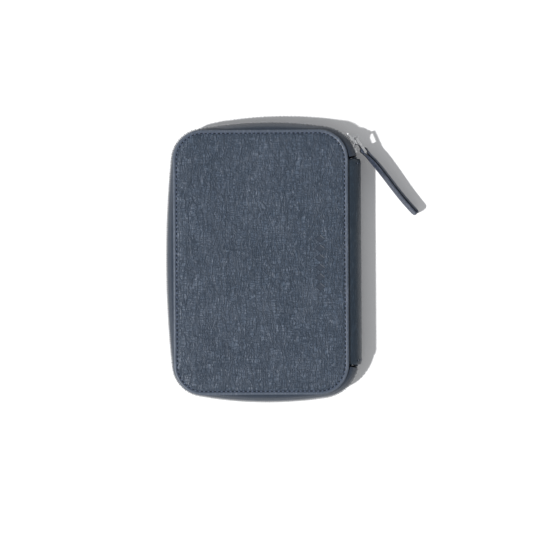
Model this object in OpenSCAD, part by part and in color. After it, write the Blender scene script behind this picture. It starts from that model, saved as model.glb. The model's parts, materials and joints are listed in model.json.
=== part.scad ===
// Long zip-around wallet, closed: two padded leather covers, a leather spine, a metal zip round
// three sides, card pockets on both covers and a zipped coin pocket between them.
// Origin: centre of the back cover's flat outer face. +Y along the spine, +Z towards the front cover.

/* [Covers] */
// Width of each cover, from the open side to the spine
cover_w = 117; // [95:1:130]
// Length of each cover, along the spine
cover_l = 177; // [160:1:200]
// Radius of the covers' corners
cover_corner = 20; // [14:1:22]
// Overall thickness of the closed wallet
wallet_t = 26; // [24:0.5:32]
// Thickness of the outer leather
leather_t = 1.2; // [1:0.1:1.6]
// Width of the turned and stitched edge of the leather
hem_w = 6; // [5:0.5:8]
// Thickness of the foam under the leather
padding_t = 0.6; // [0.4:0.1:0.8]
// Thickness of the stiffening board
board_t = 0.6; // [0.4:0.1:0.8]
// Thickness of the lining
lining_t = 0.5; // [0.4:0.1:0.6]
// Distance of the stitches from the cover's edge
stitch_inset = 2.4; // [2:0.1:3]

/* [Zip] */
// How far the zip stands out beyond the corners at the open side
zip_out = 2.2; // [1.8:0.1:3]
// How far the zip bows out past the cover along the open side
side_bow = 5.7; // [4:0.1:6]
// Radius of the gentle bow along the two short sides
end_bow_r = 260; // [240:10:400]
// Radius of the zip's outside at the two corners by the spine
spine_corner_r = 26.2; // [25:0.2:27]
// Pitch of the teeth in one row
tooth_pitch = 2.6; // [2.4:0.1:3]
// Thickness of the tape
tape_t = 0.6; // [0.5:0.05:0.7]
// Where the slider stands on its corner, in degrees from +X
slider_at = 38; // [34:1:42]

/* [Spine] */
// Distance of the fold lines past the covers' edge
fold_out = 6.5; // [6:0.5:7]
// Height of the lower fold line, and the drop of the upper one from the front
fold_z = 5; // [4.8:0.1:5.2]
// How far the spine leather runs past the centres of the corners beside it
spine_past = 3; // [1:0.5:3.5]
// How far the spine bulges past the fold lines
spine_bulge = 2.7; // [2.4:0.1:3]

/* [Inside] */
// Thickness of each card pocket strip
strip_t = 0.55; // [0.4:0.05:0.55]
// Step between one card pocket's mouth and the next
strip_step = 12; // [9:1:14]
// Distance of the card pockets' ends from the covers' short edges
pocket_inset = 2; // [1.5:0.5:6]
// Thickness of the coin pocket's walls
coin_wall = 0.8; // [0.6:0.1:0.9]
// Clear depth inside the coin pocket
coin_depth = 4.2; // [4.1:0.1:4.6]
// Pitch of the coin pocket's teeth
coin_pitch = 2; // [1.8:0.1:2.4]

/* [Pull] */
// Length of the leather pull
pull_l = 56; // [40:1:58]
// Width of the leather pull
pull_w = 8.6; // [7:0.2:9]
// Thickness of one layer of the pull's leather
pull_t = 1.3; // [1:0.1:1.4]

/* [Hidden] */
$fn = 32;
eps = 0.01;
fold_gap = 0.3;                    // clear gap either side of a fold line
mid_z = wallet_t / 2;              // plane where the two rows of teeth meet
layer_z = leather_t + padding_t + board_t;   // top of the board
tape_z = layer_z + tape_t;         // top of the tape's sewn flange
lining_z = tape_z + lining_t;      // top of the lining
fold_x = cover_w / 2 + fold_out;
strip_half = cover_l / 2 - pocket_inset;
corner_x = cover_w / 2 - cover_corner;
corner_y = cover_l / 2 - cover_corner;
spine_corner = [corner_x + 1.5, corner_y - 2.5];
spine_half = spine_corner[1] + spine_past;
chain_in = 1.3;                    // depth of the chain's middle behind its outside
zip_corner_r = cover_corner + zip_out;
zip_end_deg = 12;                  // where the tape ends, beside the spine
tooth_l = 1.1;                     // tooth along the chain
tooth_d = 2.4;                     // tooth through the chain
grip_gap = 0.08;                   // between a tooth and the tape it grips
chord_gap = 0.02;                  // between the tape's facets and its true curve
tooth_meet = 0.6;                  // overlap of a tooth past the middle plane
tooth_leg = 2.6;                   // tooth below the middle plane
tooth_fork = 1.45;                 // where the tooth's fork ends, below the middle plane
tape_top = mid_z - 1.5;            // edge of the tape, held in the teeth
flange_in = 7;                     // width of the tape sewn under the lining

// Bow along the open side, tangent to both corner arcs.
bow_d = cover_w / 2 + side_bow - corner_x;
side_r = (bow_d * bow_d + corner_y * corner_y - zip_corner_r * zip_corner_r)
         / (2 * (bow_d - zip_corner_r));
side_c = [side_r - cover_w / 2 - side_bow, 0];
// Bow along a short side: its centre lies on circles about the two corner centres.
left_c = [-corner_x, corner_y];
span = norm(spine_corner - left_c);
da = end_bow_r - zip_corner_r;
db = end_bow_r - spine_corner_r;
along = (da * da - db * db + span * span) / (2 * span);
drop = sqrt(da * da - along * along);
dir = (spine_corner - left_c) / span;
end_c = left_c + along * dir + drop * [dir[1], -dir[0]];
function bearing(from, to) = atan2(to[1] - from[1], to[0] - from[0]);
a_side = bearing(side_c, left_c);
a_left = bearing(end_c, left_c);
a_right = bearing(end_c, spine_corner);
// The zip's outside as arcs [centre, radius, first angle, last angle], from the bottom end to the top.
route = [
    [[spine_corner[0], -spine_corner[1]], spine_corner_r, -zip_end_deg, -a_right],
    [[end_c[0], -end_c[1]], end_bow_r, -a_right, -a_left],
    [[-corner_x, -corner_y], zip_corner_r, -a_left, -a_side],
    [side_c, side_r, -a_side, a_side - 360],
    [left_c, zip_corner_r, a_side - 360, a_left - 360],
    [end_c, end_bow_r, a_left - 360, a_right - 360],
    [spine_corner, spine_corner_r, a_right - 360, zip_end_deg - 360]];
function at(arc, depth, a) = arc[0] + (arc[1] - depth) * [cos(a), sin(a)];
// Chords short enough to stay within chord_gap of the true arc.
function steps(arc) = max(6, ceil(abs(arc[3] - arc[2]) / (2 * acos(1 - chord_gap / arc[1]))));
function line(depth, last = 6) = [for (k = [0 : last]) let (arc = route[k], n = steps(arc))
    for (i = [0 : n - (k == 6 ? 0 : 1)]) at(arc, depth, arc[2] + (arc[3] - arc[2]) * i / n)];
function arc_len(arc) = (arc[1] - chain_in) * abs(arc[3] - arc[2]) * PI / 180;
function run(k) = k == 0 ? 0 : run(k - 1) + arc_len(route[k - 1]);
starts = [for (k = [0 : 7]) run(k)];
function leg(s) = max([for (k = [0 : 6]) if (s >= starts[k]) k]);
function bend(s) = let (k = leg(s), arc = route[k])
    arc[2] + (arc[3] - arc[2]) * (s - starts[k]) / arc_len(arc);
slider_s = starts[6] + (a_right - slider_at) * (spine_corner_r - chain_in) * PI / 180;
end_run = 46;                      // stretch of upper teeth and tape that flexes by the slider
stop_s = starts[7] - 3.5;          // top stops
teeth = floor((stop_s - 4.5) / tooth_pitch);
join_i = floor((slider_s - end_run) / tooth_pitch);
join_deg = bend(join_i * tooth_pitch + tooth_pitch / 4) + 360;
open_z = 1.5;
// Rise of an unzipped tooth from the middle plane: none behind the slider, full at its nose.
function spread(s) = s < slider_s - 0.5 ? 0 : min(open_z, (s - slider_s + 0.5) / 2);

module cover_shape(inset = 0) {
    translate([-corner_x, -corner_y]) circle(cover_corner - inset, $fn = 96);
    translate([-corner_x, corner_y]) circle(cover_corner - inset, $fn = 96);
    translate([corner_x, -corner_y]) circle(cover_corner - inset, $fn = 96);
    translate([corner_x, corner_y]) circle(cover_corner - inset, $fn = 96);
    square([cover_w - 2 * inset, 2 * corner_y], center = true);
    square([2 * corner_x, cover_l - 2 * inset], center = true);
}
module slab(z, t) { translate([0, 0, z]) linear_extrude(t) children(); }
module ring(inset, w) { difference() { cover_shape(inset); cover_shape(inset + w); } }
module front() { translate([0, 0, wallet_t]) mirror([0, 0, 1]) children(); }
module stitch_groove() { slab(-eps, 0.3 + eps) ring(stitch_inset - 0.35, 0.7); }

module cover_leather() {
    difference() {
        slab(0, layer_z) cover_shape();
        slab(leather_t, layer_z) cover_shape(hem_w);
        stitch_groove();
    }
}
module cover_padding() { slab(leather_t, padding_t) cover_shape(hem_w); }
module cover_board() { slab(leather_t + padding_t, board_t) cover_shape(hem_w); }
module cover_lining() {
    slab(layer_z, tape_t) cover_shape(flange_in + 0.4);
    slab(tape_z, lining_t) cover_shape(1);
}
module cover_thread() { slab(0, 0.25) ring(stitch_inset - 0.3, 0.6); }

pocket_x = corner_x + 9;           // closed edge of the pockets, by the spine
module pocket(mouth, level, inset) {
    slab(lining_z + level * strip_t, strip_t) intersection() {
        cover_shape(inset);
        translate([mouth, -strip_half]) square([pocket_x - mouth, 2 * strip_half]);
    }
}
slip_mouth = -corner_x - 7;
first_mouth = slip_mouth + 12;
module slip_pocket() { pocket(slip_mouth, 0, 2); }
module card_strip(n) { pocket(first_mouth + (n - 1) * strip_step, n, 2); }
module pocket_thread() {
    last_mouth = first_mouth + 2 * strip_step;
    slab(lining_z + 4 * strip_t, 0.15) translate([last_mouth, -0.3])
        square([pocket_x - last_mouth - 2, 0.6]);
}

// The zip's tape: a flange sewn under the lining and a wall up to the teeth.
module tape_band(outer, inner) {
    polygon(concat(outer, [for (i = [len(inner) - 1 : -1 : 0]) inner[i]]));
}
wall_out = chain_in - tape_t / 2;
module tape_flange() {
    slab(layer_z, tape_t) difference() {
        polygon(line(wall_out + tape_t / 2));
        cover_shape(flange_in);
        translate([fold_x - 20, -spine_half - 2]) square([40, 2 * spine_half + 4]);
        translate([fold_x - 5, -cover_l]) square([20, 2 * cover_l]);
    }
}
module tape_wall() {
    slab(layer_z, tape_top - layer_z) tape_band(line(wall_out), line(wall_out + tape_t));
}
module wedge_at(first, last) {
    translate(spine_corner) polygon([[0, 0], 60 * [cos(first), sin(first)],
        60 * [cos((first + last) / 2), sin((first + last) / 2)], 60 * [cos(last), sin(last)]]);
}
// The end run is the part of the zip past this line, by the slider.
module end_zone() {
    translate([at(route[5], 0, join_deg)[0], 40]) square([100, 100]);
}
module near_end() { translate([0, 0, -1]) linear_extrude(wallet_t + 2) end_zone(); }
module low_edge() {
    // the tape's edge drops where the chain has come apart
    translate([0, 0, tape_top - open_z]) linear_extrude(4) wedge_at(-20, slider_at + 2);
}
module tape_lower() {
    difference() {
        union() { tape_flange(); tape_wall(); }
        low_edge();
    }
}

module tooth(reach, leg_z) {
    // forked foot that grips the tape, and a head that meets the other row
    rotate([90, 0, 0]) linear_extrude(tooth_l, center = true) polygon([
        [-tooth_d / 2, -leg_z], [-tape_t / 2 - grip_gap, -leg_z], [-tape_t / 2 - grip_gap, -tooth_fork],
        [tape_t / 2 + grip_gap, -tooth_fork], [tape_t / 2 + grip_gap, -leg_z], [tooth_d / 2, -leg_z],
        [tooth_d / 2, reach], [-tooth_d / 2, reach]]);
}
module on_chain(s) {
    arc = route[leg(s)];
    p = at(arc, chain_in, bend(s));
    translate([p[0], p[1], mid_z]) rotate(bend(s)) children();
}
module teeth_row(first, last, shift) {
    for (i = [first : last]) {
        s = (i + 1 + shift) * tooth_pitch;
        on_chain(s) translate([0, 0, -spread(s)]) tooth(tooth_meet, tooth_leg);
    }
}
module stop_block(s) {
    on_chain(s) translate([0, 0, -spread(s) - tooth_leg + 1.6]) difference() {
        cube([tooth_d + 0.4, 3, 3.2], center = true);
        translate([0, 0, -1.6]) cube([tape_t + 0.3, 4, 2.8], center = true);
    }
}

// The spine: flanges on both covers and a bowed panel between the two folds.
bend_r = fold_z - fold_gap - layer_z + 2.6;
flange_top = fold_z - fold_gap;
bend_end = asin((flange_top - layer_z - bend_r) / bend_r);
bend_c = [fold_x - fold_gap - bend_r * cos(bend_end), layer_z + bend_r];
function fold_arc(r) = [for (i = [0 : 6]) let (a = -90 + (bend_end + 90) * i / 6)
    bend_c + r * [cos(a), sin(a)]];
module spine_flange() {
    outer = fold_arc(bend_r);
    inner = fold_arc(bend_r - tape_t);
    start = cover_w / 2 - flange_in;
    edge = [[start, layer_z + tape_t], [start, layer_z]];
    rotate([90, 0, 0]) linear_extrude(2 * spine_half, center = true)
        polygon(concat(edge, outer, [for (i = [6 : -1 : 0]) inner[i]]));
}
half_h = mid_z - fold_z - fold_gap;
spine_r = (half_h * half_h + pow(spine_bulge - 0.6, 2)) / (2 * (spine_bulge - 0.6));
spine_a = asin(half_h / spine_r);
module spine_band(out, t, half) {
    c = [fold_x + spine_bulge - spine_r, mid_z];
    band = [for (r = [spine_r - out, spine_r - out - t]) [for (i = [0 : 10])
        c + r * [cos(-spine_a + spine_a * i / 5), sin(-spine_a + spine_a * i / 5)]]];
    rotate([90, 0, 0]) linear_extrude(2 * half, center = true)
        polygon(concat(band[0], [for (i = [10 : -1 : 0]) band[1][i]]));
}
module hem_grooves(out, t, w) {
    for (side = [-1, 1]) translate([0, side * (spine_half - 3), 0]) spine_band(out, t, w / 2);
}
tab_x = fold_x - 1.6;
module end_tab(side) {
    translate([tab_x, side * (spine_half + 0.7), mid_z]) cube([tape_t + 2, 1, 12], center = true);
}

// The coin pocket between the covers, held by the spine.
coin_z = mid_z - coin_depth / 2 - coin_wall;
coin_mouth = -corner_x - 11;
coin_r = 24;                       // corners by the spine, clear of the teeth as the wallet opens
coin_half = spine_corner[1] + 12;
coin_right = fold_x - 0.6;
module coin_shape(inset = 0) {
    x = coin_right - coin_r;
    y = coin_half - coin_r;
    intersection() {
        union() {
            for (side = [-1, 1]) translate([x, side * y]) circle(coin_r - inset, $fn = 96);
            translate([coin_mouth, inset - coin_half]) square([x - coin_mouth, 2 * (coin_half - inset)]);
            translate([coin_mouth, -y]) square([coin_right - inset - coin_mouth, 2 * y]);
        }
        translate([coin_mouth, -100]) square([200, 200]);
    }
}
module coin_wall_at(z) { slab(z, coin_wall) coin_shape(); }
coin_run = coin_half - 8;
module coin_tape() {
    translate([coin_mouth - 1, -coin_run - 4, coin_z + coin_wall])
        cube([0.5, 2 * coin_run + 8, coin_depth / 2 - 1]);
    translate([coin_mouth - 1, -coin_run - 4, coin_z]) cube([1, 2 * coin_run + 8, coin_wall]);
}
module coin_row(shift, flip) {
    for (y = [-coin_run + shift : coin_pitch : coin_run - 6]) {
        translate([coin_mouth - 0.75, y, mid_z + flip * 0.35]) cube([1.4, 0.9, 1.2], center = true);
    }
}
coin_slider_y = coin_run - 3;
module coin_slider_body() {
    translate([coin_mouth - 2.3, coin_slider_y, mid_z]) difference() {
        union() {
            translate([-0.35, 0, 0]) cube([0.8, 7, 5.2], center = true);
            for (side = [-1, 1]) translate([0.55, 0, side * 2.25]) cube([1, 7, 0.7], center = true);
        }
        translate([-1, 0, 0]) cube([0.4, 1, 1], center = true);
    }
    translate([coin_mouth - 3.9, coin_slider_y, mid_z]) difference() {
        cube([2.4, 4, 1.2], center = true);
        cylinder(h = 4, r = 0.7, center = true);
    }
}

// Main slider, in its own frame: x outwards, y back along the closed chain, z up.
cavity = 3.9;
plate_t = 1;
plate_half = 5;                    // half width across the chain
plate_mid = -0.2;                  // set in a little, for the chain's curve
module slider_place() {
    p = at(route[6], chain_in, slider_at);
    translate([p[0], p[1], mid_z]) rotate(slider_at) children();
}
module slider_plate() {
    rotate([0, 90, 0]) linear_extrude(plate_t) {
        square([2 * plate_half, 5], center = true);
        for (side = [-1, 1]) intersection() {
            translate([0, side * 0.2]) circle(r = plate_half, $fn = 48);
            translate([0, side * 5]) square([2 * plate_half, 10.4], center = true);
        }
    }
}
module slider_shape() {
    translate([plate_mid + cavity / 2, 0, 0]) slider_plate();
    translate([plate_mid - cavity / 2 - plate_t, 0, 0]) slider_plate();
    for (side = [-1, 1]) for (top = [-1, 1])
        translate([plate_mid + side * (cavity / 2 - 0.25), 0, top * (plate_half - 0.4)])
            cube([0.52, 2.4, 0.8], center = true);
    translate([plate_mid - cavity / 2 - eps, -4.2, 0]) rotate([0, 90, 0])
        cylinder(h = cavity + 2 * eps, r = 0.7);
}
bail_out = 5;                      // bail hole's middle, out from the chain
bail_along = -1.5;
bail_hole = 1.25;
bail_t = 1.8;
module bail_shape() {
    foot = plate_mid + cavity / 2 + plate_t;
    difference() {
        linear_extrude(bail_t, center = true) {
            translate([foot, bail_along - 3.2]) square([1.2, 6.4]);
            translate([foot, bail_along - 2.1]) square([bail_out - foot, 4.2]);
            translate([bail_out, bail_along]) circle(2.1);
        }
        translate([bail_out, bail_along, 0]) cylinder(h = 6, r = bail_hole, center = true);
    }
}
// World place of the bail's hole: the link turns about it.
slider_p = at(route[6], chain_in, slider_at);
bail_p = slider_p + bail_out * [cos(slider_at), sin(slider_at)]
         + bail_along * [-sin(slider_at), cos(slider_at)];
link_l = 10;
link_r = 0.8;
link_gap = 0.8;                    // between the link's side bars and the pull
pull_ease = 0.8;                   // taken off the pull's width inside the link
link_w = pull_w - pull_ease + 2 * (link_gap + 2 * link_r);
link_deg = -56;
link_drop = 13;                    // slope of the link down to the pull
module link_place() {
    translate([bail_p[0], bail_p[1], mid_z]) rotate(link_deg) rotate([0, link_drop, 0]) children();
}
module puller_link() {
    color("silver") link_place() {
        for (x = [0, link_l]) translate([x, 0, 0]) cylinder(h = link_w, r = link_r, center = true);
        for (side = [-1, 1]) translate([-link_r, -link_r, side * link_w / 2 - (side + 1) * link_r])
            cube([link_l + 2 * link_r, 2 * link_r, 2 * link_r]);
    }
}
tab_p = bail_p + link_l * cos(link_drop) * [cos(link_deg), sin(link_deg)];
tab_z = mid_z - link_l * sin(link_drop);
tab_deg = -49.1;
module tab_place() {
    translate([tab_p[0], tab_p[1], tab_z]) rotate(tab_deg) rotate([0, 4.6, 0]) children();
}
loop_r = link_r + 0.9;             // inside of the strip's loop round the link's bar
module pull_tab_leather() {
    // one strip folded round the link's bar, its two layers glued face to face
    color([0.28, 0.34, 0.40]) tab_place() linear_extrude(pull_w - pull_ease, center = true) difference() {
        union() {
            circle(r = loop_r + pull_t);
            translate([0, -pull_t]) square([pull_l, 2 * pull_t]);
        }
        circle(r = loop_r);
        translate([4, -0.02]) square([pull_l, 0.04]);
    }
}
module pull_tab_thread() {
    color([0.45, 0.51, 0.58]) tab_place() for (side = [-1, 1]) for (top = [-1, 1])
        translate([6, side * (pull_t + 0.1) - 0.1, top * (pull_w / 2 - 1.6) - 0.2])
            cube([pull_l - 8, 0.2, 0.4]);
}

navy = [0.28, 0.34, 0.40];
thread_c = [0.45, 0.51, 0.58];
tape_c = [0.40, 0.44, 0.52];
lining_c = [0.20, 0.24, 0.30];
metal_c = [0.78, 0.79, 0.80];
module back_cover_leather() { color(navy) cover_leather(); }
module back_cover_padding() { color("ivory") cover_padding(); }
module back_cover_board() { color("tan") cover_board(); }
module back_cover_lining() { color(lining_c) cover_lining(); }
module back_cover_thread() { color(thread_c) cover_thread(); }
module back_slip_pocket() { color(navy) slip_pocket(); }
module back_card_strip(n) { color(navy) card_strip(n); }
module back_pocket_thread() { color(thread_c) pocket_thread(); }
module zip_tape_lower() { color(tape_c) tape_lower(); }
module zip_teeth_lower() { color(metal_c) teeth_row(0, teeth - 1, 0); }
module zip_top_stop_lower() { color(metal_c) stop_block(stop_s); }
module spine_lower_flange() { color(navy) spine_flange(); }
module front_cover_leather() { color(navy) front() cover_leather(); }
module front_cover_padding() { color("ivory") front() cover_padding(); }
module front_cover_board() { color("tan") front() cover_board(); }
module front_cover_lining() { color(lining_c) front() cover_lining(); }
module front_cover_thread() { color(thread_c) front() cover_thread(); }
module front_slip_pocket() { color(navy) front() slip_pocket(); }
module front_card_strip(n) { color(navy) front() card_strip(n); }
module front_pocket_thread() { color(thread_c) front() pocket_thread(); }
module zip_tape_upper() { color(tape_c) difference() { front() tape_lower(); near_end(); } }
module zip_tape_upper_end() { color(tape_c) intersection() { front() tape_lower(); near_end(); } }
module zip_teeth_upper() { color(metal_c) front() teeth_row(0, join_i, -0.5); }
module zip_teeth_upper_end() { color(metal_c) front() teeth_row(join_i + 1, teeth - 1, -0.5); }
module zip_top_stop_upper() { color(metal_c) front() stop_block(stop_s); }
module spine_upper_flange() { color(navy) front() spine_flange(); }
module spine_panel() {
    color(navy) difference() {
        spine_band(0, 1.2, spine_half);
        hem_grooves(-0.1, 0.4, 0.8);
    }
}
module spine_lining() { color(lining_c) spine_band(1.2, 0.4, spine_half - 2); }
module spine_hem_thread() { color(thread_c) hem_grooves(0.05, 0.25, 0.6); }
module zip_end_tab_top() { color(tape_c) end_tab(1); }
module zip_end_tab_bottom() { color(tape_c) end_tab(-1); }
module coin_back_wall() { color(lining_c) coin_wall_at(coin_z); }
module coin_front_wall() { color(lining_c) coin_wall_at(wallet_t - coin_z - coin_wall); }
module coin_gusset() {
    color(lining_c) slab(coin_z + coin_wall, coin_depth) difference() {
        coin_shape();
        coin_shape(0.8);
        translate([coin_mouth - 1, -coin_half + 0.8]) square([2, 2 * coin_half - 1.6]);
    }
}
module coin_tape_lower() { color(tape_c) coin_tape(); }
module coin_tape_upper() { color(tape_c) front() coin_tape(); }
module coin_teeth() { color(metal_c) { coin_row(0, 1); coin_row(coin_pitch / 2, -1); } }
module slider_body() { color(metal_c) slider_place() slider_shape(); }
module slider_bail() { color(metal_c) slider_place() bail_shape(); }
module coin_slider() { color(metal_c) coin_slider_body(); }
module coin_puller() {
    color(metal_c) translate([coin_mouth - 3.9, coin_slider_y, mid_z]) {
        cylinder(h = 4, r = 0.6, center = true);
        for (side = [-1, 1]) translate([-0.6, -12, side * 2 - 0.4]) cube([1.2, 12, 0.8]);
        translate([-0.6, -18, -2.4]) cube([1.2, 6, 4.8]);
    }
}

back_cover_leather();
back_cover_padding();
back_cover_board();
back_cover_lining();
back_cover_thread();
back_slip_pocket();
back_card_strip(1);  // back_card_strip_1
back_card_strip(2);  // back_card_strip_2
back_card_strip(3);  // back_card_strip_3
back_pocket_thread();
zip_tape_lower();
zip_teeth_lower();
zip_top_stop_lower();
spine_lower_flange();
front_cover_leather();
front_cover_padding();
front_cover_board();
front_cover_lining();
front_cover_thread();
front_slip_pocket();
front_card_strip(1);  // front_card_strip_1
front_card_strip(2);  // front_card_strip_2
front_card_strip(3);  // front_card_strip_3
front_pocket_thread();
zip_tape_upper();
zip_tape_upper_end();
zip_teeth_upper();
zip_teeth_upper_end();
zip_top_stop_upper();
spine_upper_flange();
spine_panel();
spine_lining();
spine_hem_thread();
zip_end_tab_top();
zip_end_tab_bottom();
coin_back_wall();
coin_front_wall();
coin_gusset();
coin_tape_lower();
coin_tape_upper();
coin_teeth();
slider_body();
slider_bail();
puller_link();
pull_tab_leather();
pull_tab_thread();
coin_slider();
coin_puller();
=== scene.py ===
import json
import math

import bpy
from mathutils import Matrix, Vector


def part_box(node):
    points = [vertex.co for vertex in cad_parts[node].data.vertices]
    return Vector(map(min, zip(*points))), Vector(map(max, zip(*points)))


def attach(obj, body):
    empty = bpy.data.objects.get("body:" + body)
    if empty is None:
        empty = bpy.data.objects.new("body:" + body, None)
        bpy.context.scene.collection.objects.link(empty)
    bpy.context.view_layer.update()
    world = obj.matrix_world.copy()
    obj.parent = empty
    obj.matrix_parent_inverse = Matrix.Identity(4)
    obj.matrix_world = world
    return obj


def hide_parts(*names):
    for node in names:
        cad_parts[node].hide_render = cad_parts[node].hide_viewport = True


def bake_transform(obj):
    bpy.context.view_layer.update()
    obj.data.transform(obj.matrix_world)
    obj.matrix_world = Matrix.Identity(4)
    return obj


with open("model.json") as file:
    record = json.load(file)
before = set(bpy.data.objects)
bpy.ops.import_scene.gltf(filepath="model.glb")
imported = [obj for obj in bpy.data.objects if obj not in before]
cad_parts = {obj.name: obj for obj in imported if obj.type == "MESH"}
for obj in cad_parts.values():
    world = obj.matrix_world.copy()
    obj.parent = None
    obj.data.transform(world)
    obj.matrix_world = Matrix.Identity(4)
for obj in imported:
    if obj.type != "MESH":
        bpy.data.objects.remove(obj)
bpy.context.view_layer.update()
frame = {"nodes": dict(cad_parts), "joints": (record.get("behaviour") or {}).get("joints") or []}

MM = 0.001

# ---- Camera, table and light ------------------------------------------------------------------
# The wallet lies on a plain white table, seen straight from above. One hard-edged lamp shines
# from the lower left, and pale light comes from all round.
view_size = 359.8 * MM
camera_height = 1.0
wallet_middle = 13 * MM
sensor = 36
camera_data = bpy.data.cameras.new("camera")
camera_data.sensor_width = sensor
camera_data.lens = sensor * (camera_height - wallet_middle) / view_size
camera = bpy.data.objects.new("camera", camera_data)
camera.location = (3.7 * MM, -2.9 * MM, camera_height)
camera.rotation_euler = (0, 0, math.radians(-0.31))
bpy.context.collection.objects.link(camera)
bpy.context.scene.camera = camera
bpy.context.scene.view_settings.view_transform = "Standard"


def mesh_object(name, verts, faces, smooth=True, uvs=None):
    """An object from points and faces, with its mesh in the frame's own metres."""
    mesh = bpy.data.meshes.new(name)
    mesh.from_pydata([tuple(v) for v in verts], [], faces)
    if uvs is not None:
        layer = mesh.uv_layers.new(name="along")
        for loop in mesh.loops:
            layer.data[loop.index].uv = uvs[loop.vertex_index]
    mesh.polygons.foreach_set("use_smooth", [smooth] * len(mesh.polygons))
    mesh.update()
    made = bpy.data.objects.new(name, mesh)
    bpy.context.collection.objects.link(made)
    return made


table_half = 3
table_corners = [(x * table_half, y * table_half, 0) for x, y in ((-1, -1), (1, -1), (1, 1), (-1, 1))]
table = mesh_object("table", table_corners, [(0, 1, 2, 3)])
table.location.z = -0.3 * MM
table_paint = bpy.data.materials.new("table_paint")
table_paint.use_nodes = True
table_shader = table_paint.node_tree.nodes["Principled BSDF"]
table_shader.inputs["Base Color"].default_value = (0.9, 0.9, 0.9, 1)
table_shader.inputs["Roughness"].default_value = 0.7
table.data.materials.append(table_paint)

lamp_data = bpy.data.lights.new("lamp", "SUN")
lamp_data.energy = 3.7
lamp_data.angle = math.radians(3)
lamp = bpy.data.objects.new("lamp", lamp_data)
shadow_way = Vector((0.67, 0.35, -1))
lamp.rotation_euler = shadow_way.to_track_quat("-Z", "Y").to_euler()
bpy.context.collection.objects.link(lamp)
world = bpy.data.worlds.new("pale_room")
world.use_nodes = True
world.node_tree.nodes["Background"].inputs["Color"].default_value = (0.97, 0.98, 1, 1)
world.node_tree.nodes["Background"].inputs["Strength"].default_value = 0.5
bpy.context.scene.world = world


# ---- Covers -----------------------------------------------------------------------------------
# Each cover is a sheet of cross-grained calf leather, drawn over foam and board and turned in at
# the edge, where it is sewn. The edge is a low roll, and the middle stands up on the foam.
class Shader:
    """A material or a node group while it is being built."""

    def __init__(self, tree):
        self.tree = tree

    def node(self, kind, **values):
        made = self.tree.nodes.new("ShaderNode" + kind)
        for key, value in values.items():
            setattr(made, key, value)
        return made

    def feed(self, socket, value):
        if isinstance(value, bpy.types.NodeSocket):
            self.tree.links.new(value, socket)
        else:
            socket.default_value = value

    def math(self, operation, a, b=0.0):
        made = self.node("Math", operation=operation)
        self.feed(made.inputs[0], a)
        self.feed(made.inputs[1], b)
        return made.outputs[0]

    def noise(self, place, scale, detail=2.0, rough=0.5):
        made = self.node("TexNoise")
        self.feed(made.inputs["Vector"], place)
        self.feed(made.inputs["Scale"], scale)
        made.inputs["Detail"].default_value = detail
        made.inputs["Roughness"].default_value = rough
        return made.outputs["Fac"]

    def ramp(self, value, low, high, start=0.0, end=1.0):
        made = self.node("MapRange", interpolation_type="SMOOTHSTEP")
        self.feed(made.inputs["Value"], value)
        for index, number in enumerate((low, high, start, end), 1):
            made.inputs[index].default_value = number
        return made.outputs["Result"]

    def mix(self, share, a, b):
        made = self.node("Mix", data_type="RGBA")
        self.feed(made.inputs[0], share)
        self.feed(made.inputs[6], a)
        self.feed(made.inputs[7], b)
        return made.outputs[2]

    def place(self, source, scale, turn=0.0):
        made = self.node("Mapping")
        self.feed(made.inputs["Vector"], source)
        made.inputs["Scale"].default_value = scale
        made.inputs["Rotation"].default_value = (0, 0, turn)
        return made.outputs[0]


def new_group(name, inputs, outputs):
    """A shader group with number inputs, given as name: value, and named outputs."""
    tree = bpy.data.node_groups.new(name, "ShaderNodeTree")
    for key, value in inputs.items():
        socket = tree.interface.new_socket(key, in_out="INPUT", socket_type="NodeSocketFloat")
        socket.default_value = value
    for key in outputs:
        tree.interface.new_socket(key, in_out="OUTPUT", socket_type="NodeSocketFloat")
    build = Shader(tree)
    return build, tree.nodes.new("NodeGroupInput"), tree.nodes.new("NodeGroupOutput")


grain, grain_in, grain_out = new_group(
    "cross_grain", {"Strokes": 1.0, "Hatch": 1.0}, ["Height", "Groove", "Bloom"])
spot = grain.node("TexCoord").outputs["Object"]
bent = grain.node("VectorMath", operation="MULTIPLY_ADD")
drift = grain.node("TexNoise")
drift.inputs["Scale"].default_value = 160
grain.feed(drift.inputs["Vector"], spot)
grain.feed(bent.inputs[0], drift.outputs["Color"])
grain.feed(bent.inputs[1], (0.0034, 0.0012, 0.0034))
grain.feed(bent.inputs[2], spot)


def creases(scale, turn, width, detail):
    """Thin wandering lines: where a stretched noise crosses its middle value."""
    value = grain.noise(grain.place(bent.outputs[0], scale, turn), 1.0, detail, 0.55)
    return grain.ramp(grain.math("ABSOLUTE", grain.math("SUBTRACT", value, 0.5)), 0.0, width, 1, 0)


long_lines = creases((480, 42, 480), 0.17, 0.05, 1.0)
short_lines = creases((820, 90, 820), 0.05, 0.05, 1.0)
cross_lines = creases((90, 760, 760), 0.1, 0.06, 1.0)
pebble = grain.noise(grain.place(bent.outputs[0], (1350, 150, 1350), 0.14), 1.0, 2.0, 0.6)
fine_lines = grain.math("MULTIPLY", short_lines, 0.7)
lines = grain.math("MULTIPLY", grain.math("MAXIMUM", long_lines, fine_lines),
                   grain_in.outputs["Strokes"])
hatching = grain.math("MULTIPLY", grain.math("MULTIPLY", cross_lines, 0.65), grain_in.outputs["Hatch"])
groove = grain.math("MAXIMUM", lines, hatching)
total = grain.math("SUBTRACT", grain.math("MULTIPLY", pebble, 0.6), groove)
grain.feed(grain_out.inputs["Height"], grain.math("ADD", total, 1.0))
grain.feed(grain_out.inputs["Groove"], groove)
grain.feed(grain_out.inputs["Bloom"], grain.ramp(grain.noise(spot, 55.0, 3.0), 0.35, 0.7))


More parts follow.
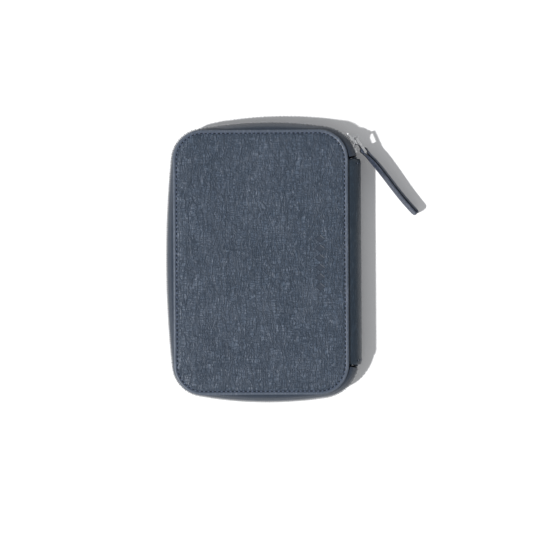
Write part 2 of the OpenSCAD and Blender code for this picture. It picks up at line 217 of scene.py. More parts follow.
def new_material(name, slot_rough, metallic=0.0, specular=0.5):
    """A material with its Principled shader, ready for nodes."""
    made = bpy.data.materials.new(name)
    made.use_nodes = True
    build = Shader(made.node_tree)
    shader = made.node_tree.nodes["Principled BSDF"]
    shader.inputs["Roughness"].default_value = slot_rough
    shader.inputs["Metallic"].default_value = metallic
    shader.inputs["Specular IOR Level"].default_value = specular
    return made, build, shader


def add_bump(build, shader, height, depth, strength=1.0):
    """Relief of a given depth, in metres, on a material's surface."""
    bump = build.node("Bump")
    bump.inputs["Strength"].default_value = strength
    bump.inputs["Distance"].default_value = depth
    build.feed(bump.inputs["Height"], height)
    build.feed(shader.inputs["Normal"], bump.outputs["Normal"])


def leather(name, dark, base, light, depth, strokes=1.0, hatch=1.0):
    """Dyed leather with a pressed grain, with painted shade in the grooves and a painted highlight on
    the ridges.
    """
    made, build, shader = new_material(name, 0.5, specular=0.4)
    group = build.node("Group", node_tree=bpy.data.node_groups["cross_grain"])
    group.inputs["Strokes"].default_value = strokes
    group.inputs["Hatch"].default_value = hatch
    flat_height = build.math("ADD", group.outputs["Height"], group.outputs["Groove"])
    # Painted highlight: the ridges of the grain are mixed towards the light colour.
    ridge = build.ramp(flat_height, 1.3, 1.46)
    colour = build.mix(ridge, (*base, 1), (*light, 1))
    # Painted shade: the grooves are mixed towards the dark colour.
    groove_shade_share = build.math("MULTIPLY", group.outputs["Groove"], 0.7)
    colour = build.mix(groove_shade_share, colour, (*dark, 1))
    haze = build.math("MULTIPLY", group.outputs["Bloom"], 0.12)
    colour = build.mix(haze, colour, (*light, 1))
    build.feed(shader.inputs["Base Color"], colour)
    build.feed(shader.inputs["Roughness"], build.ramp(group.outputs["Height"], 0.3, 1.3, 0.62, 0.42))
    add_bump(build, shader, group.outputs["Height"], depth)
    return made


cover_leather = leather("cover_leather", (0.013, 0.022, 0.036), (0.044, 0.064, 0.096),
                        (0.125, 0.148, 0.19), 0.00042)
edge_leather = leather("edge_leather", (0.02, 0.027, 0.04), (0.042, 0.057, 0.085),
                       (0.1, 0.12, 0.16), 0.0001, 0.5, 0.3)
# A lighter copy of the leather, laid along the top of each cover's edge roll as a painted highlight.
roll_highlight_leather = leather("roll_highlight_leather", (0.035, 0.047, 0.066), (0.062, 0.08, 0.11),
                         (0.13, 0.15, 0.19), 0.00008, 0.3, 0.2)

low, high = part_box("back_cover_leather")
half_w, half_l = high.x, high.y
corner = 20 * MM
top_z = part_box("front_cover_leather")[1].z
mid_z = top_z / 2
leather_top = high.z
stitch_in = 2.4 * MM


def cover_outline(inset, straight=(52, 82), turn=22):
    """Points round a cover, in by inset, always as many and in the same order."""
    radius = max(corner - inset, 0.0004)
    cx, cy = half_w - inset - radius, half_l - inset - radius
    cx, cy = max(cx, 0.0002), max(cy, 0.0002)
    points = []
    for quarter, (sx, sy) in enumerate(((1, 1), (-1, 1), (-1, -1), (1, -1))):
        for i in range(turn):
            a = math.radians(90 * quarter + 90 * i / turn)
            points.append((sx * cx + radius * math.cos(a), sy * cy + radius * math.sin(a)))
        nx, ny = ((-1, 1), (-1, -1), (1, -1), (1, 1))[quarter]
        a = math.radians(90 * quarter + 90)
        here = (sx * cx + radius * math.cos(a), sy * cy + radius * math.sin(a))
        there = (nx * cx + radius * math.cos(a), ny * cy + radius * math.sin(a))
        count = straight[quarter % 2]
        for i in range(count):
            t = i / count
            points.append((here[0] + (there[0] - here[0]) * t, here[1] + (there[1] - here[1]) * t))
    return points


edge_drop = 0.75 * MM
roll_width, roll_drop = 1.1 * MM, 0.9 * MM
seam_dip, seam_width = 0.4 * MM, 0.6 * MM
crown_from, crown_width = 3 * MM, 4.2 * MM


def cover_height(inset):
    """How deep the leather's face lies under its highest plane, in from the edge."""
    if inset < roll_width:
        roll = 1 - inset / roll_width
        return roll_drop * (1 - math.sqrt(max(0.0, 1 - roll * roll))) + edge_drop
    seam = math.exp(-((inset - stitch_in) / seam_width) ** 2)
    crown = 1 - math.exp(-max(0.0, inset - crown_from) / crown_width)
    return edge_drop + seam_dip * seam - edge_drop * crown


# Rings from the edge inwards: close together over the roll and the seam, wide on the face.
insets = [0.0, 0.00012, 0.0003, 0.0005, 0.0008, 0.0011, 0.0015, 0.0018, 0.0021, 0.0024, 0.0027,
          0.003, 0.0034, 0.004, 0.005, 0.0065, 0.0085, 0.011, 0.014, 0.0175, 0.02, 0.026, 0.034,
          0.044, half_w - 0.0012]
# Faces of rings 5 and 6 lie over the top of the roll and carry the painted highlight.
edge_rings, highlight_rings = 10, (5, 6)


def make_cover(name, front):
    """One cover's leather: rings from the turned edge over the roll and seam to the middle."""
    rings = [[(x, y, leather_top) for x, y in cover_outline(0.0012)]]
    rings.append([(x, y, leather_top) for x, y in cover_outline(0.0)])
    rings += [[(x, y, cover_height(t)) for x, y in cover_outline(t)] for t in insets]
    if front:
        rings = [[(x, y, top_z - z) for x, y, z in ring] for ring in rings]
    count = len(rings[0])
    verts = [v for ring in rings for v in ring]
    faces = []
    for k in range(len(rings) - 1):
        for i in range(count):
            j = (i + 1) % count
            quad = (k * count + i, k * count + j, (k + 1) * count + j, (k + 1) * count + i)
            faces.append(quad if front else quad[::-1])
    last = tuple((len(rings) - 1) * count + i for i in range(count))
    faces.append(last if front else last[::-1])
    cover = mesh_object(name, verts, faces)
    cover.data.materials.append(cover_leather)
    cover.data.materials.append(edge_leather)
    cover.data.materials.append(roll_highlight_leather)
    # The roll's top rings get the lighter leather as a painted highlight; the rest of the edge gets the
    # edge leather.
    for polygon in cover.data.polygons:
        ring = polygon.index // count
        if ring < edge_rings:
            polygon.material_index = 2 if ring in highlight_rings else 1
    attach(cover, "front_cover" if front else "back_cover")
    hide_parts("front_cover_leather" if front else "back_cover_leather")
    return cover


make_cover("front_leather", True)
make_cover("back_leather", False)

# ---- Cover seams ------------------------------------------------------------------------------
# One row of waxed thread goes round each cover, 2.4 mm in. Each stitch is a short slanted roll
# of thread that dips into its needle holes at both ends; each hole is a flat near-black disc of
# painted shade.
thread, build, shader = new_material("waxed_thread", 0.5, specular=0.4)
twist = build.node("TexWave", wave_type="BANDS", bands_direction="DIAGONAL")
build.feed(twist.inputs["Vector"], build.node("TexCoord").outputs["Object"])
twist.inputs["Scale"].default_value = 900
strand = twist.outputs["Fac"]
build.feed(shader.inputs["Base Color"],
           build.mix(strand, (0.05, 0.07, 0.12, 1), (0.15, 0.185, 0.28, 1)))
add_bump(build, shader, strand, 0.0001)
# Near-black colour for the needle holes: painted shade.
hole_shade, build, shader = new_material("needle_hole_shade", 0.9, specular=0.1)
hole_tone = build.noise(build.node("TexCoord").outputs["Object"], 1500.0)
build.feed(shader.inputs["Base Color"],
           build.mix(hole_tone, (0.004, 0.005, 0.008, 1), (0.012, 0.015, 0.02, 1)))
stitch_pitch = 2.93 * MM


def walk(points, pitch, closed=True):
    """Evenly spaced places along a line of points, each with its direction."""
    line = points + points[:1] if closed else points
    lengths = [0.0]
    for a, b in zip(line, line[1:]):
        lengths.append(lengths[-1] + (Vector(b) - Vector(a)).length)
    count = round(lengths[-1] / pitch)
    step = lengths[-1] / count
    made, k = [], 0
    for i in range(count):
        s = (i + 0.5) * step
        while lengths[k + 1] < s:
            k += 1
        a, b = Vector(line[k]), Vector(line[k + 1])
        made.append((a + (b - a) * ((s - lengths[k]) / (lengths[k + 1] - lengths[k])),
                     (b - a).normalized()))
    return made


def stitches(name, places, up, body, node, length=1.45 * MM, radius=0.28 * MM, skew=0.12):
    """Rolls of thread on a surface whose outward way is up(place), joined in one piece."""
    verts, faces, holes = [], [], []
    sides, rings = 8, 7
    for point, way in places:
        out = up(point)
        across = out.cross(way).normalized()
        way = (way + across * skew).normalized()
        across = out.cross(way).normalized()
        base = len(verts)
        for r in range(rings):
            t = r / (rings - 1) * 2 - 1
            dip = -0.34 * MM * t ** 4
            size = radius * (1 - 0.45 * t ** 6)
            mid = point + way * (t * length / 2) + out * (dip + radius * 0.35)
            for k in range(sides):
                a = 2 * math.pi * k / sides
                verts.append(mid + across * (size * math.cos(a)) + out * (size * math.sin(a)))
        for r in range(rings - 1):
            for k in range(sides):
                n = (k + 1) % sides
                faces.append((base + r * sides + k, base + r * sides + n,
                              base + (r + 1) * sides + n, base + (r + 1) * sides + k))
        faces.append(tuple(base + k for k in range(sides))[::-1])
        faces.append(tuple(base + (rings - 1) * sides + k for k in range(sides)))
        # At each end a flat near-black disc lies on the surface as the needle hole: painted shade.
        for end in (-1, 1):
            first = len(verts)
            mid = point + way * (end * (length / 2 + 0.4 * MM)) + out * 0.07 * MM
            for k in range(8):
                a = 2 * math.pi * k / 8
                verts.append(mid + way * (0.62 * MM * math.cos(a)) + across * (0.55 * MM * math.sin(a)))
            holes.append(len(faces))
            faces.append(tuple(first + k for k in range(8))[::-1])
    made = mesh_object(name, verts, faces)
    made.data.materials.append(thread)
    made.data.materials.append(hole_shade)
    for index in holes:
        made.data.polygons[index].material_index = 1
    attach(made, body)
    if node:
        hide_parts(*node)
    return made


seam_depth = cover_height(stitch_in)
ring_line = cover_outline(stitch_in)
stitches("front_seam", walk([(x, y, top_z - seam_depth) for x, y in ring_line], stitch_pitch),
         lambda p: Vector((0, 0, 1)), "front_cover", ["front_cover_thread"])
stitches("back_seam", walk([(x, y, seam_depth) for x, y in ring_line], stitch_pitch),
         lambda p: Vector((0, 0, -1)), "back_cover", ["back_cover_thread"])

# ---- Pressed ornament -------------------------------------------------------------------------
# A row of plain lozenges is pressed into the front cover beside the spine: each is a darker,
# nearly level field inside a raised rim.
pressed, build, shader = new_material("pressed_leather", 0.45, specular=0.4)
pressed_tone = build.noise(build.node("TexCoord").outputs["Object"], 1200.0, 3.0)
build.feed(shader.inputs["Base Color"],
           build.mix(pressed_tone, (0.01, 0.016, 0.027, 1), (0.034, 0.048, 0.072, 1)))
add_bump(build, shader, pressed_tone, 0.00008)
ornament_x, ornament_y = 39.5 * MM, -0.6 * MM
lozenges, lozenge_step = 6, 6.4 * MM
half_wide, half_high = 3.6 * MM, 2.9 * MM
rim_rings = ((1.0, 0.0), (0.9, 0.16), (0.72, 0.02), (0.0, 0.015))
verts, faces = [], []
face_z = top_z - cover_height(0.02)
for i in range(lozenges):
    y = ornament_y + (i - (lozenges - 1) / 2) * lozenge_step
    base = len(verts)
    for share, z in rim_rings:
        for sx, sy in ((1, 0), (0, 1), (-1, 0), (0, -1)):
            x = ornament_x + sx * share * half_wide
            verts.append((x, y + sy * share * half_high, face_z + z * MM))
    for r in range(3):
        for k in range(4):
            n = (k + 1) % 4
            faces.append((base + r * 4 + k, base + r * 4 + n,
                          base + r * 4 + 4 + n, base + r * 4 + 4 + k))
ornament = mesh_object("pressed_ornament", verts, faces, smooth=False)
ornament.data.materials.append(pressed)
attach(ornament, "front_cover")

# ---- Zip tapes --------------------------------------------------------------------------------
# Each tape is a narrow woven twill, sewn in under a cover's edge. It bellies out past the cover
# and stands up to the chain, with a corded edge that the teeth grip.
zip_out = 2.2 * MM
side_bow = 5.7 * MM
end_r = 260 * MM
spine_r = 26.2 * MM
corner_x, corner_y = half_w - corner, half_l - corner
spine_corner = Vector((corner_x + 1.5 * MM, corner_y - 2.5 * MM))
left_corner = Vector((-corner_x, corner_y))
open_r = corner + zip_out
bow = half_w + side_bow - corner_x
side_r = (bow ** 2 + corner_y ** 2 - open_r ** 2) / (2 * (bow - open_r))
side_c = Vector((side_r - half_w - side_bow, 0))
gap = (spine_corner - left_corner).length
da, db = end_r - open_r, end_r - spine_r
along = (da ** 2 - db ** 2 + gap ** 2) / (2 * gap)
way = (spine_corner - left_corner) / gap
end_c = left_corner + along * way + math.sqrt(da ** 2 - along ** 2) * Vector((way.y, -way.x))


def bearing(a, b):
    return math.degrees(math.atan2(b.y - a.y, b.x - a.x))


a_side, a_left, a_right = (bearing(side_c, left_corner), bearing(end_c, left_corner),
                           bearing(end_c, spine_corner))
zip_end = 12
slider_at = 38
route = [(Vector((spine_corner.x, -spine_corner.y)), spine_r, -zip_end, -a_right),
         (Vector((end_c.x, -end_c.y)), end_r, -a_right, -a_left),
         (Vector((-corner_x, -corner_y)), open_r, -a_left, -a_side),
         (side_c, side_r, -a_side, a_side - 360),
         (left_corner, open_r, a_side - 360, a_left - 360),
         (end_c, end_r, a_left - 360, a_right - 360),
         (spine_corner, spine_r, a_right - 360, zip_end - 360)]
chain_in = 1.3 * MM
spans = [(r - chain_in) * math.radians(abs(b - a)) for c, r, a, b in route]
zip_length = sum(spans)


def on_zip(s, depth=chain_in):
    """The point s along the chain, depth behind its outside, and its outward direction."""
    k = 0
    while k < 6 and s > spans[k]:
        s -= spans[k]
        k += 1
    c, r, a, b = route[k]
    angle = math.radians(a + (b - a) * s / spans[k])
    out = Vector((math.cos(angle), math.sin(angle)))
    return c + out * (r - depth), out


def smooth(t):
    t = min(1.0, max(0.0, t))
    return t * t * (3 - 2 * t)


slider_s = zip_length - spans[6] + (spine_r - chain_in) * math.radians(a_right - slider_at)
tooth_pitch = 2.6 * MM


def spread(s):
    """How far a row stands from the middle plane: nothing where the chain is closed."""
    return 1.5 * MM * smooth((s - slider_s + 0.001) / 0.004)


def twill(name, dark, light):
    """Woven tape: slanted wales crossed by picks, along the tape's own length."""
    made, build, shader = new_material(name, 0.75, specular=0.25)
    uv = build.node("UVMap").outputs["UV"]
    wales = build.node("TexWave", wave_type="BANDS", bands_direction="X")
    build.feed(wales.inputs["Vector"], build.place(uv, (1, 1, 1), math.radians(38)))
    wales.inputs["Scale"].default_value = 330
    wales.inputs["Distortion"].default_value = 0.6
    picks = build.node("TexWave", wave_type="BANDS", bands_direction="Y")
    build.feed(picks.inputs["Vector"], uv)
    picks.inputs["Scale"].default_value = 520
    weave = build.math("MULTIPLY", wales.outputs["Fac"],
                       build.ramp(picks.outputs["Fac"], 0.0, 1.0, 0.55, 1.0))
    mottle = build.noise(build.node("TexCoord").outputs["Object"], 400.0, 3.0)
    tone = build.ramp(mottle, 0.3, 0.7, 0.75, 1)
    build.feed(shader.inputs["Base Color"],
               build.mix(build.math("MULTIPLY", weave, tone), (*dark, 1), (*light, 1)))
    shader.inputs["Sheen Weight"].default_value = 0.25
    add_bump(build, shader, weave, 0.00012)
    return made


tape_weave = twill("tape_twill", (0.004, 0.008, 0.015), (0.045, 0.067, 0.105))
tape_t = 0.6 * MM
tape_root = 5.2 * MM
tape_edge = 1.45 * MM


def make_tape(name, front, first, last, body, nodes):
    """A tape from under a cover's edge, out and up to the chain, between two places on it."""
    steps = max(8, int((last - first) / (1.6 * MM)))
    profile_steps = 12
    verts, uvs, faces = [], [], []
    for i in range(steps + 1):
        s = first + (last - first) * i / steps
        chain, out = on_zip(s)
        for side in (0, 1):
            for k in range(profile_steps + 1):
                t = k / profile_steps
                edge_z = mid_z - tape_edge - spread(s)
                a = t * math.pi / 2
                depth = tape_root * (1 - math.sin(a)) ** 1.25
                low_z = leather_top + tape_t / 2
                z = low_z + (edge_z - low_z) * (1 - math.cos(a)) ** 0.85
                depth += (0.5 - side) * tape_t * math.sin(a)
                z += (side - 0.5) * tape_t * math.cos(a)
                p = chain - out * depth
                if front:
                    z = top_z - z
                verts.append((p.x, p.y, z))
                uvs.append((s, t * 13 * MM))
    row = 2 * (profile_steps + 1)
    for i in range(steps):
        for k in range(row - 1):
            if k == profile_steps:
                continue
            quad = (i * row + k, i * row + k + 1, (i + 1) * row + k + 1, (i + 1) * row + k)
            faces.append(quad if (k > profile_steps) == front else quad[::-1])
        top, other = i * row + profile_steps, i * row + row - 1
        faces.append((top, other, other + row, top + row))
    tape = mesh_object(name, verts, faces, uvs=uvs)
    tape.data.materials.append(tape_weave)
    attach(tape, body)
    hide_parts(*nodes)
    return tape


make_tape("lower_tape", False, 0, zip_length, "back_cover", ["zip_tape_lower"])
make_tape("upper_tape", True, 0, zip_length, "front_cover", ["zip_tape_upper", "zip_tape_upper_end"])

# ---- Zip teeth --------------------------------------------------------------------------------
# Each tooth is a small metal clip, closed on the tape's corded edge, with a rounded head that
# locks between two heads of the other row.
zip_metal, build, shader = new_material("zip_metal", 0.3, metallic=1.0)
scuff = build.noise(build.node("TexCoord").outputs["Object"], 900.0, 4.0, 0.6)
build.feed(shader.inputs["Base Color"],
           build.mix(build.ramp(scuff, 0.35, 0.7), (0.24, 0.25, 0.27, 1), (0.55, 0.56, 0.57, 1)))
build.feed(shader.inputs["Roughness"], build.ramp(scuff, 0.3, 0.7, 0.16, 0.32))
add_bump(build, shader, scuff, 0.00003)


def box_mesh(verts, faces, place, size, top=1.0):
    """A block, its +z end drawn in by top, put down by place(x, y, z)."""
    base = len(verts)
    for z in (-0.5, -0.36, 0.3, 0.5):
        inset = {-0.5: 0.78, 0.5: top}.get(z, 1.0)
        for x, y in ((-1, -0.7), (-0.7, -1), (0.7, -1), (1, -0.7),
                     (1, 0.7), (0.7, 1), (-0.7, 1), (-1, 0.7)):
            verts.append(place(x * size[0] / 2 * inset, y * size[1] / 2 * inset, z * size[2]))
    for r in range(3):
        for k in range(8):
            n = (k + 1) % 8
            faces.append((base + r * 8 + k, base + r * 8 + n,
                          base + r * 8 + 8 + n, base + r * 8 + 8 + k))
    faces.append(tuple(base + k for k in range(8))[::-1])
    faces.append(tuple(base + 24 + k for k in range(8)))


# A tooth's blocks: offset outwards, size, middle and how far the tip is drawn in.
tooth_blocks = ((0.0, (2.4, 0.9, 1.9), -0.35, 0.72),
                (0.78, (0.84, 0.85, 2.0), -1.75, 1.0),
                (-0.78, (0.84, 0.85, 2.0), -1.75, 1.0))


def make_teeth(name, front, first, last, body, nodes):
    """One row of teeth. The front row is half a pitch behind, so that the heads interlock."""
    verts, faces = [], []
    shift = -0.5 if front else 0.0
    for i in range(first, last + 1):
        s = (i + 1 + shift) * tooth_pitch
        chain, out = on_zip(s)
        tangent = Vector((-out.y, out.x))
        drop = spread(s)

        def place(x, y, z):
            p = chain + out * x + tangent * y
            height = mid_z - drop + z
            return (p.x, p.y, top_z - height if front else height)

        for offset, size, mid, tip in tooth_blocks:
            dims = [v * MM for v in size]
            start = len(faces)
            box_mesh(verts, faces,
                     lambda x, y, z: place(x + offset * MM, y, z + mid * MM), dims, tip)
            if front:
                faces[start:] = [face[::-1] for face in faces[start:]]
    row = mesh_object(name, verts, faces, smooth=False)
    row.data.materials.append(zip_metal)
    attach(row, body)
    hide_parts(*nodes)
    return row


teeth_count = int((zip_length - 8 * MM) / tooth_pitch)
make_teeth("lower_teeth", False, 0, teeth_count - 1, "back_cover", ["zip_teeth_lower"])
make_teeth("upper_teeth", True, 0, teeth_count - 1, "front_cover",
           ["zip_teeth_upper", "zip_teeth_upper_end"])

# ---- Spine ------------------------------------------------------------------------------------
# One strip of the same leather joins the covers. It comes out from under each cover's edge,
# bellies outwards and is hemmed at both ends. It is drawn as two separate halves.
# Painted shade: the strip's leather is drawn about half as bright as the covers' leather.
shaded_spine_leather = leather("shaded_spine_leather", (0.006, 0.012, 0.02), (0.01, 0.02, 0.033),
                        (0.026, 0.044, 0.066), 0.00012, 0.5, 0.4)
fold_x = half_w + 6.5 * MM
spine_half = spine_corner.y + 3 * MM
spine_t = 1.1 * MM
hem_in, hem_width, hem_dip = 3 * MM, 0.8 * MM, 0.25 * MM
bulge_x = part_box("spine_panel")[1].x


def spine_point(t):
    """The strip's outside in section, t from 0 under the back cover to 1 under the front."""
    a = math.pi * (t - 0.5)
    flat = half_w - 4 * MM
    power = abs(math.cos(a)) ** 0.8
    x = flat + (bulge_x - flat) * power
    z = mid_z + (mid_z - leather_top - 0.1 * MM) * math.sin(a)
    return x, z


def make_spine_half(name, front):
    """Half of the spine's strip with both its faces."""
    verts, faces, uvs = [], [], []
    columns, rows = 28, 70
    for j in range(rows + 1):
        y = -spine_half + 2 * spine_half * j / rows
        for side in (0, 1):
            for i in range(columns + 1):
                t = 0.5 * i / columns + (0.5 if front else 0)
                x, z = spine_point(t)
                near, far = spine_point(max(t - 0.01, 0)), spine_point(min(t + 0.01, 1))
                run = Vector((far[0] - near[0], far[1] - near[1])).normalized()
                hem = math.exp(-((spine_half - abs(y) - hem_in) / hem_width) ** 2)
                inward = side * spine_t + hem_dip * hem
                end = smooth((spine_half - abs(y)) / hem_width)
                inward += (1 - end) * 0.5 * MM * (1 - side)
                verts.append((x - run.y * inward, y, z + run.x * inward))
                uvs.append((y, t * 30 * MM))
    row = 2 * (columns + 1)
    for j in range(rows):
        for i in range(columns):
            for side in (0, 1):
                a = j * row + side * (columns + 1) + i
                quad = (a, a + 1, a + 1 + row, a + row)
                faces.append(quad[::-1] if side == 0 else quad)
        for i in (0, columns):
            a, b = j * row + i, j * row + columns + 1 + i
            faces.append((a, a + row, b + row, b) if i == 0 else (a, b, b + row, a + row))
    for j in (0, rows):
        for i in range(columns):
            a, b = j * row + i, j * row + columns + 1 + i
            faces.append((a, a + 1, b + 1, b)[:: 1 if j == 0 else -1])
    half = mesh_object(name, verts, faces, uvs=uvs)
    half.data.materials.append(shaded_spine_leather)
    if front:
        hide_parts("spine_upper_flange")
        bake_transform(half)
    else:
        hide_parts("spine_lower_flange", "spine_panel")
        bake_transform(half)


make_spine_half("spine_lower_half", False)
make_spine_half("spine_upper_half", True)
hem_places = []
for end in (-1, 1):
    line = []
    for i in range(40):
        x, z = spine_point(0.24 + 0.52 * i / 39)
        line.append((x - 0.2 * MM, end * (spine_half - hem_in), z))
    hem_places += walk(line, stitch_pitch, closed=False)
stitches("spine_hem_seam", hem_places,
         lambda p: Vector((p.x - fold_x + 6 * MM, 0, (p.z - mid_z) * 0.9)).normalized(),
         "spine", ["spine_hem_thread"])

# ---- Slider and pull --------------------------------------------------------------------------
# The slider is a polished casting with a bail, and a wire link hangs its leather pull: one strip
# folded round the link's bar, glued face to face and sewn along both edges.
chrome, build, shader = new_material("polished_slider", 0.12, metallic=1.0)
wear = build.noise(build.node("TexCoord").outputs["Object"], 500.0, 4.0, 0.65)
build.feed(shader.inputs["Base Color"],
           build.mix(build.ramp(wear, 0.3, 0.7), (0.62, 0.63, 0.64, 1), (0.93, 0.93, 0.93, 1)))
build.feed(shader.inputs["Roughness"], build.ramp(wear, 0.3, 0.7, 0.08, 0.22))
add_bump(build, shader, wear, 0.00002)


def finish_node(node, material):
    """A CAD node that is shown as it is, with its own material."""
    shown = frame["nodes"][node]
    shown.data.materials.clear()
    shown.data.materials.append(material)


for node in ("slider_body", "slider_bail", "puller_link", "zip_top_stop_lower",
             "zip_top_stop_upper", "coin_slider", "coin_puller"):
    finish_node(node, chrome)
finish_node("coin_teeth", zip_metal)
pull_leather = leather("pull_leather", (0.006, 0.01, 0.02), (0.026, 0.038, 0.066),
                       (0.08, 0.096, 0.14), 0.0002, 0.7, 0.4)
raw_edge, build, shader = new_material("painted_edge", 0.45)
edge_tone = build.noise(build.node("TexCoord").outputs["Object"], 700.0, 3.0)
build.feed(shader.inputs["Base Color"],
           build.mix(edge_tone, (0.006, 0.007, 0.01, 1), (0.02, 0.024, 0.034, 1)))
add_bump(build, shader, edge_tone, 0.00006)
joints = {j["name"]: j for j in frame["joints"]}
tab_root = Vector(joints["tab_swing"]["pos_m"])
tab_turn, tab_drop, tab_lean = math.radians(-49.9), math.radians(4.6), math.radians(11)
tab_way = Vector((math.cos(tab_turn) * math.cos(tab_drop), math.sin(tab_turn) * math.cos(tab_drop),
                  -math.sin(tab_drop)))
tab_out = Vector((-math.sin(tab_turn), math.cos(tab_turn), 0))
tab_up = tab_way.cross(tab_out)
tab_up = -tab_up if tab_up.z < 0 else tab_up
tab_long, tab_wide, layer_t = 56 * MM, 8.6 * MM, 1.3 * MM
layer_from, tip_long = 1.2 * MM, 3 * MM
seam_in = 1.6 * MM


def tab_place(u, v, w):
    """u along the pull, v outwards, w up: the pull leans and waves a little along its length."""
    lean = tab_lean * smooth(u / (12 * MM))
    wave = 0.45 * MM * math.sin(2 * math.pi * u / tab_long)
    out = tab_out * math.cos(lean) - tab_up * math.sin(lean)
    up = tab_up * math.cos(lean) + tab_out * math.sin(lean)
    return tab_root + tab_way * u + out * (v + wave) + up * w


def make_layer(name, side):
    """One layer of the pull with rounded edges, a rounded tip and a lengthwise seam groove."""
    verts, faces = [], []
    rows, ring = 64, 24
    for j in range(rows + 1):
        u = layer_from + (tab_long - layer_from) * j / rows
        tip = max(0.0, (u - (tab_long - tip_long)) / tip_long)
        wide = tab_wide / 2 * (1 - 0.45 * tip ** 2.5)
        for k in range(ring):
            a = 2 * math.pi * k / ring
            cx, cz = math.cos(a), math.sin(a)
            w = wide * math.copysign(abs(cz) ** 0.35, cz)
            v = layer_t / 2 * math.copysign(abs(cx) ** 0.5, cx)
            if cx * side > 0:
                v -= side * 0.15 * MM * math.exp(-((abs(w) - wide + seam_in) / (0.5 * MM)) ** 2)
            open_root = 0.5 * MM * (1 - smooth((u - layer_from) / (5 * MM)))
            verts.append(tab_place(u, v + side * (layer_t / 2 + 0.2 * MM + open_root), w))
    for j in range(rows):
        for k in range(ring):
            n = (k + 1) % ring
            faces.append((j * ring + k, j * ring + n, (j + 1) * ring + n, (j + 1) * ring + k))
    faces.append(tuple(range(ring))[::-1])
    faces.append(tuple(rows * ring + k for k in range(ring)))
    layer = mesh_object(name, verts, faces)
    layer.data.materials.append(pull_leather)
    layer.data.materials.append(raw_edge)
    for polygon in layer.data.polygons:
        column = polygon.index % ring
        if column in (17, 18) or column in ((6, 7) if side > 0 else (4, 5)):
            polygon.material_index = 1
    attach(layer, "pull_tab")
    return layer


outer_layer = make_layer("pull_outer_layer", 1)
make_layer("pull_inner_layer", -1)
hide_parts("pull_tab_leather")
verts, faces = [], []
loop_r = 0.95 * MM
loop_steps, loop_start, loop_end = 14, 62, 298
for i in range(loop_steps + 1):
    a = math.radians(loop_start + (loop_end - loop_start) * i / loop_steps)
    for r, w in ((loop_r, -1), (loop_r, 1), (loop_r + layer_t, 1), (loop_r + layer_t, -1)):
        verts.append(tab_place(r * math.cos(a), r * math.sin(a), w * tab_wide / 2 * 0.93))
for i in range(loop_steps):
    for k in range(4):
        n = (k + 1) % 4
        faces.append((i * 4 + k, i * 4 + 4 + k, i * 4 + 4 + n, i * 4 + n))
last = 4 * loop_steps
faces += [(0, 1, 2, 3), (last + 3, last + 2, last + 1, last)]
loop = mesh_object("pull_loop", verts, faces, smooth=False)
loop.data.materials.append(pull_leather)
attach(loop, "pull_tab")
pull_stitches, pull_pitch = 17, 2.9 * MM
for side in (-1, 1):
    places = []
    for edge in (-1, 1):
        for i in range(pull_stitches):
            u = 6 * MM + i * pull_pitch
            w = edge * (tab_wide / 2 - seam_in)
            p = tab_place(u, side * (layer_t - 0.12 * MM), w)
            ahead = tab_place(u + 0.5 * MM, side * (layer_t - 0.12 * MM), w)
            places.append((p, (ahead - p).normalized()))
    lean_out = tab_out * math.cos(tab_lean) - tab_up * math.sin(tab_lean)
    stitches("pull_seam_" + ("outer" if side > 0 else "inner"), places,
             lambda p, d=side * lean_out: d, "pull_tab", ["pull_tab_thread"] if side > 0 else [],
             length=2.1 * MM, radius=0.18 * MM, skew=0.0)

# ---- Inside -----------------------------------------------------------------------------------
# Both covers are lined with plain cloth and carry stepped card pockets of thin calf. Between
# them the coin pocket is a flat cloth bag with its own small zip.
pocket_leather = leather("pocket_leather", (0.012, 0.018, 0.028), (0.026, 0.038, 0.056),
                         (0.05, 0.066, 0.09), 0.00008, 0.3, 0.25)
lining, build, shader = new_material("lining_cloth", 0.8, specular=0.2)
spot = build.node("TexCoord").outputs["Object"]
warp = build.node("TexWave", wave_type="BANDS", bands_direction="X")
weft = build.node("TexWave", wave_type="BANDS", bands_direction="Y")
for threads in (warp, weft):
    build.feed(threads.inputs["Vector"], spot)
    threads.inputs["Scale"].default_value = 420
cloth = build.math("MULTIPLY", warp.outputs["Fac"], weft.outputs["Fac"])
build.feed(shader.inputs["Base Color"],
           build.mix(cloth, (0.018, 0.024, 0.036, 1), (0.07, 0.085, 0.115, 1)))
shader.inputs["Sheen Weight"].default_value = 0.2
add_bump(build, shader, cloth, 0.0001)
foam, build, shader = new_material("foam_sheet", 0.9, specular=0.1)
cells = build.node("TexVoronoi")
cells.inputs["Scale"].default_value = 1400
build.feed(cells.inputs["Vector"], build.node("TexCoord").outputs["Object"])
build.feed(shader.inputs["Base Color"],
           build.mix(cells.outputs["Distance"], (0.5, 0.47, 0.38, 1), (0.8, 0.77, 0.68, 1)))
add_bump(build, shader, cells.outputs["Distance"], 0.0002)
board, build, shader = new_material("fibre_board", 0.85, specular=0.1)
fibres = build.noise(build.place(build.node("TexCoord").outputs["Object"], (300, 1500, 1500)), 1.0, 4.0)
build.feed(shader.inputs["Base Color"], build.mix(fibres, (0.3, 0.24, 0.16, 1), (0.6, 0.5, 0.36, 1)))
add_bump(build, shader, fibres, 0.0001)
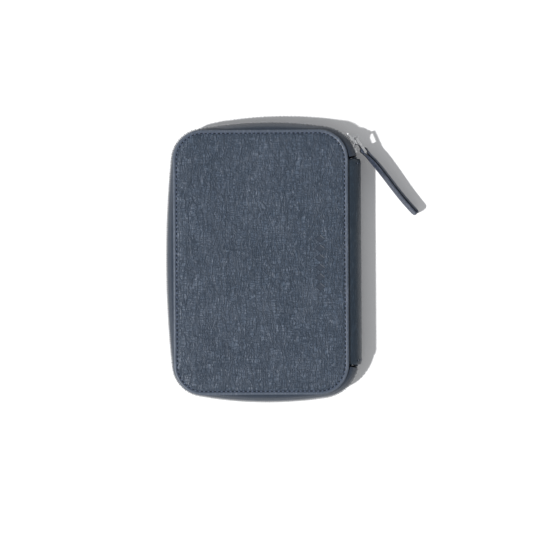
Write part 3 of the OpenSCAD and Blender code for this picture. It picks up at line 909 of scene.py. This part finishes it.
for cover in ("front", "back"):
    finish_node(cover + "_cover_lining", lining)
    finish_node(cover + "_cover_padding", foam)
    finish_node(cover + "_cover_board", board)
    finish_node(cover + "_slip_pocket", pocket_leather)
    for n in (1, 2, 3):
        finish_node("%s_card_strip_%d" % (cover, n), pocket_leather)
for node in ("coin_back_wall", "coin_front_wall", "coin_gusset", "spine_lining"):
    finish_node(node, lining)
for node in ("coin_tape_lower", "coin_tape_upper", "zip_end_tab_top", "zip_end_tab_bottom"):
    finish_node(node, lining)

pocket_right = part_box("back_slip_pocket")[1].x


def inner_seam(name, lines, z, front, body, nodes=()):
    """Stitches on an inner face of a cover or a pocket, along straight lines."""
    places = []
    for (x0, y0), (x1, y1) in lines:
        height = top_z - z if front else z
        count = 12
        points = [(x0 + (x1 - x0) * i / count, y0 + (y1 - y0) * i / count, height)
                  for i in range(count + 1)]
        places += walk(points, 3 * MM, closed=False)
    out = Vector((0, 0, -1 if front else 1))
    return stitches(name, places, lambda p: out, body, list(nodes), radius=0.17 * MM)


for cover in ("front", "back"):
    front = cover == "front"
    for n in (1, 2, 3):
        strip_low, strip_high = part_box("%s_card_strip_%d" % (cover, n))
        face = top_z - strip_low.z if front else strip_high.z
        x = strip_low.x + 2 * MM
        reach = strip_high.y - 2 * MM
        inner_seam("%s_strip_seam_%d" % (cover, n), [((x, -reach), (x, reach))], face, front,
                   cover + "_cover")
    strip_low, strip_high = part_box(cover + "_card_strip_3")
    face = top_z - strip_low.z if front else strip_high.z
    inner_seam(cover + "_column_seam", [((strip_low.x + 4 * MM, 0), (pocket_right - 2 * MM, 0))],
               face, front, cover + "_cover", [cover + "_pocket_thread"])
coin_corner = 24 * MM
for wall, front in (("coin_back_wall", True), ("coin_front_wall", False)):
    wall_low, wall_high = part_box(wall)
    face = top_z - wall_low.z if front else wall_high.z
    left, right = wall_low.x + 2 * MM, wall_high.x - coin_corner
    reach = wall_high.y - 2.2 * MM
    inner_seam(wall + "_seam", [((left, -reach), (right, -reach)), ((left, reach), (right, reach)),
                                ((left, -reach + 4 * MM), (left, reach - 4 * MM))],
               face, front, "spine")
